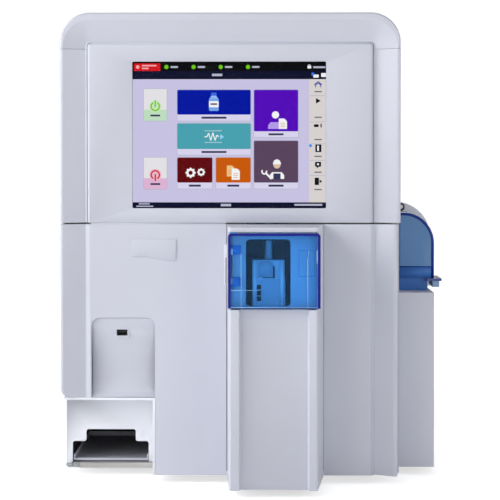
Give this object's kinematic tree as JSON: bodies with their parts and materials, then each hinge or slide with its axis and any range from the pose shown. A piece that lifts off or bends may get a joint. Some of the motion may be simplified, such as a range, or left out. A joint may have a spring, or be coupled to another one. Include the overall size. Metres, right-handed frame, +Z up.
{
  "type": "hematology analyzer",
  "caption": "Benchtop blood analyzer: touch screen hood, hinged front door with a sampling column, tinted sample cover, pull-out tray and side loader with a tinted lid.",
  "frame": {"origin": "middle of the whole part's footprint, on the bench", "axes": "+Z up, the front with the screen and door faces -Y, the side loader is at +X"},
  "size_m": [0.4922, 0.537, 0.5955],
  "materials": {
    "white_shell": "satin moulded, cool off-white",
    "cool_plastic": "satin moulded, light grey",
    "grey_housing": "satin moulded, grey",
    "dark_plastic": "matte moulded, charcoal",
    "black_metal": "black powder coat",
    "black_plastic": "matte moulded, black",
    "touch_glass": "smooth, over a lit display",
    "tinted_blue": "clear tinted polycarbonate, glossy",
    "blue_plastic": "glossy moulded, blue",
    "stainless": "brushed",
    "zinc_steel": "zinc coat, satin",
    "rubber": "matte",
    "circuit_board": "solder mask",
    "bottle_plastic": "translucent white, satin"
  },
  "bodies": {
    "chassis": {"hood_cowl": "white_shell", "hood_left_strip": "white_shell", "hood_right_strip": "white_shell", "display_fascia": "white_shell", "left_front_cover": "white_shell", "usb_fascia": "white_shell", "left_side_cover": "white_shell", "right_side_cover": "white_shell", "top_cover": "white_shell", "rear_panel": "white_shell", "loader_box": "white_shell", "bay_shroud": "cool_plastic", "reagent_bay": "cool_plastic", "fluid_ports": "cool_plastic", "name_plate": "cool_plastic", "loader_rear_housing": "grey_housing", "bay_liner": "dark_plastic", "sampler_housing": "dark_plastic", "loader_well": "dark_plastic", "display_frame": "black_metal", "optical_bench": "black_metal", "probe_motor": "black_metal", "power_inlet": "black_plastic", "fan_frame": "black_plastic", "display_module": "black_plastic", "touch_glass": "touch_glass", "loader_collar": "blue_plastic", "guide_strip": "stainless", "usb_socket": "stainless", "lid_hinge_pin": "stainless", "data_ports": "stainless", "base_tray": "zinc_steel", "front_bulkhead": "zinc_steel", "inner_deck": "zinc_steel", "upper_door_hinge": "zinc_steel", "lower_door_hinge": "zinc_steel", "probe_frame": "zinc_steel", "front_left_foot": "rubber", "front_right_foot": "rubber", "rear_left_foot": "rubber", "rear_right_foot": "rubber", "probe_belt": "rubber", "main_board": "circuit_board", "lysing_bottle": "bottle_plastic", "rinse_bottle": "bottle_plastic"},
    "front_door": {"door_panel": "white_shell", "sampling_column": "white_shell", "face_plate": "cool_plastic", "door_latch": "zinc_steel", "cover_hinge_pin": "stainless"},
    "sample_cover": {"sample_cover": "tinted_blue"},
    "tube_holder": {"tube_holder": "cool_plastic"},
    "probe": {"probe_carriage": "dark_plastic", "sampling_needle": "stainless"},
    "drive_pulley": {"drive_pulley": "zinc_steel"},
    "loader_lid": {"loader_lid": "tinted_blue", "lid_grip": "blue_plastic"},
    "tray": {"tray": "cool_plastic"},
    "fan": {"fan_rotor": "black_plastic"},
    "power_rocker": {"power_rocker": "dark_plastic"}
  },
  "joints": [
    {"name": "front_door_hinge", "type": "hinge", "parent": "chassis", "child": "front_door", "pos_m": [0.17415, -0.1709, 0.17], "axis": [0, 0, 1], "range_deg": [0, 100]},
    {"name": "sample_cover_hinge", "type": "hinge", "parent": "front_door", "child": "sample_cover", "pos_m": [-0.02625, -0.2595, 0.276], "axis": [0, 0, -1], "range_deg": [0, 95]},
    {"name": "tube_holder_slide", "type": "slide", "parent": "chassis", "child": "tube_holder", "axis": [0, 1, 0], "range_m": [0, 0.076]},
    {"name": "probe_slide", "type": "slide", "parent": "chassis", "child": "probe", "axis": [0, 0, -1], "range_m": [0, 0.057]},
    {"name": "drive_pulley_turn", "type": "hinge", "parent": "chassis", "child": "drive_pulley", "pos_m": [0.05445, -0.1255, 0.462], "axis": [0, -1, 0], "range_deg": [0, 480]},
    {"name": "loader_lid_hinge", "type": "hinge", "parent": "chassis", "child": "loader_lid", "pos_m": [0.19595, -0.0575, 0.3343], "axis": [0, -1, 0], "range_deg": [0, 90]},
    {"name": "tray_slide", "type": "slide", "parent": "chassis", "child": "tray", "axis": [0, -1, 0], "range_m": [0, 0.12]},
    {"name": "fan_spin", "type": "hinge", "parent": "chassis", "child": "fan", "pos_m": [-0.14105, 0.2365, 0.44], "axis": [0, 1, 0], "continuous": true},
    {"name": "power_rocker_tilt", "type": "hinge", "parent": "chassis", "child": "power_rocker", "pos_m": [0.12095, 0.2495, 0.07], "axis": [1, 0, 0], "range_deg": [0, 12]}
  ],
  "couplings": [
    {"joint": "drive_pulley_turn", "follows": "probe_slide", "rad_per_m": 125}
  ]
}
